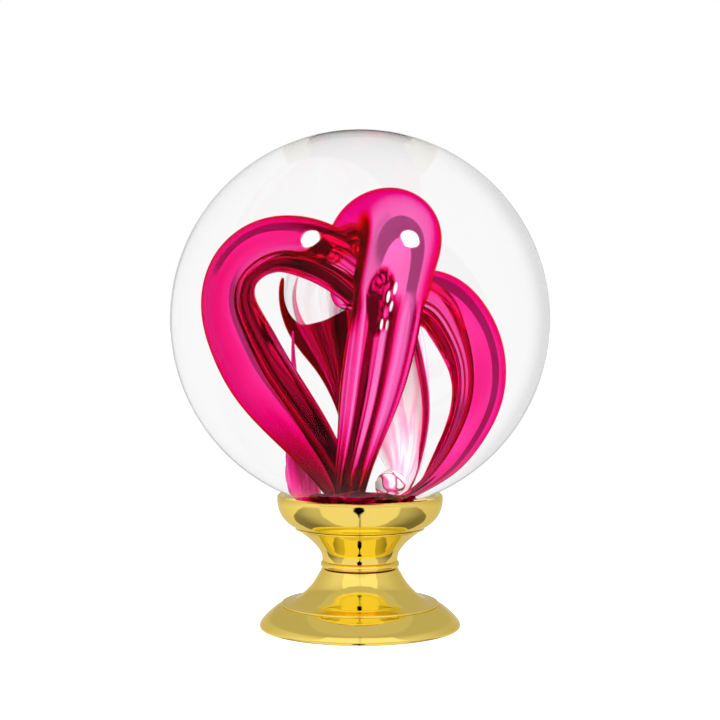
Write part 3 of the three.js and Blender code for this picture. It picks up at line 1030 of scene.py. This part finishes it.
def camera_mark(g, aside, front, azimuth, height, within):
    """The studio's share of light where the camera on its stand darkens it, and along a seam in front."""
    middle, reach_down, reach_up = -16.0, 20, 8
    half_width = g.ramp(height, -17.0, -30.0, 7.5, 1.2)
    wide = g.maths("DIVIDE", g.size_of(g.maths("ADD", azimuth, 1.5)), half_width)
    level = g.less(height, middle)
    tall = g.most(g.product(level, 1 / reach_up), g.product(level, -1 / reach_down))
    outline = g.maths("ADD", g.maths("POWER", g.size_of(tall), 3.0), g.maths("POWER", wide, 2.5))
    body = g.ramp(g.total(outline, (within, 9.0)), 0.9, 1.15)
    stand = g.most(g.ramp(aside, 0.010, 0.018), g.ramp(height, -26.0, -23.0))
    stand = g.most(g.total(0.4, (stand, 0.6)), within)
    seam = g.most(g.ramp(aside, 0.006, 0.014, 0.6, 1.0), g.ramp(front, 0.1, -0.1), within)
    return g.product(g.most(g.product(body, stand), g.ramp(front, 0.3, 0.1)), seam)


def build_world():
    """A white studio: what the polished brass sees, and the crisper light that reaches inside the ball."""
    world = bpy.data.worlds.new("studio")
    bpy.context.scene.world = world
    world.use_nodes = True
    world.node_tree.nodes.clear()
    g = Graph(world.node_tree)
    x, y, z = g.split(g.node("ShaderNodeTexCoord").outputs["Generated"])
    front = g.product(y, -1.0)
    elevation = g.maths("ARCSINE", z)
    azimuth = g.product(g.maths("ARCTAN2", x, front), TO_DEGREES)
    height = g.product(elevation, TO_DEGREES)
    paths = g.node("ShaderNodeLightPath").outputs
    within = paths["Is Transmission Ray"]
    light = g.mixed(within, outer_studio(g, x, azimuth, height), inner_studio(g, x, front, elevation))
    mark = camera_mark(g, g.size_of(x), front, azimuth, height, within)

    # what one part of the brass shows in another is a clearer yellow
    again = g.product(
        g.maths("GREATER_THAN", paths["Ray Depth"], 2.5), g.less(1.0, within),
        g.maths("LESS_THAN", paths["Transmission Depth"], 0.5),
    )
    colour = g.combine(g.total(1.0, (again, 0.1)), g.total(1.0, (again, 0.28)), 1.0)
    studio = g.fed("ShaderNodeBackground", colour, g.product(light, mark))
    backdrop = g.fed("ShaderNodeBackground", (1.0, 1.0, 1.0, 1.0))
    shown = g.blended(paths["Is Camera Ray"], studio, backdrop)
    g.feed(g.node("ShaderNodeOutputWorld").inputs["Surface"], shown)


def build_lamps():
    """Two round lamps that show only as highlights on the ball's own surface."""
    receivers = bpy.data.collections.new("ball_only")
    receivers.objects.link(BALL)
    distance, radius, radiance = 0.6, 0.05, 450
    height, turn = math.radians(45), math.radians(37.5)
    for side in (-1, 1):
        light = bpy.data.lights.new("lamp", "AREA")
        light.shape = "DISK"
        light.size = 2 * radius
        light.energy = radiance * math.pi * math.pi * radius**2
        obj = bpy.data.objects.new("lamp", light)
        bpy.context.scene.collection.objects.link(obj)
        level = math.cos(height)
        away = Vector((side * math.sin(turn) * level, -math.cos(turn) * level, math.sin(height)))
        obj.location = Vector((0, 0, BALL_Z * MM)) + away * distance
        obj.rotation_euler = away.to_track_quat("Z", "Y").to_euler()
        obj.light_linking.receiver_collection = receivers
        obj.visible_camera = obj.visible_diffuse = obj.visible_transmission = False


def build_camera():
    distance, eye_height, degrees_down = 0.458, 0.090, 2.4
    camera = bpy.data.cameras.new("camera")
    camera.sensor_width = 36
    camera.lens = 86.54
    camera.clip_start = 0.01
    obj = bpy.data.objects.new("camera", camera)
    obj.location = (0, -distance, eye_height)
    obj.rotation_euler = (math.radians(90 - degrees_down), 0, 0)
    bpy.context.scene.collection.objects.link(obj)
    bpy.context.scene.camera = obj


build_floor()
build_card()
build_veil()
build_world()
build_lamps()
build_camera()
bpy.context.scene.view_settings.view_transform = "Standard"
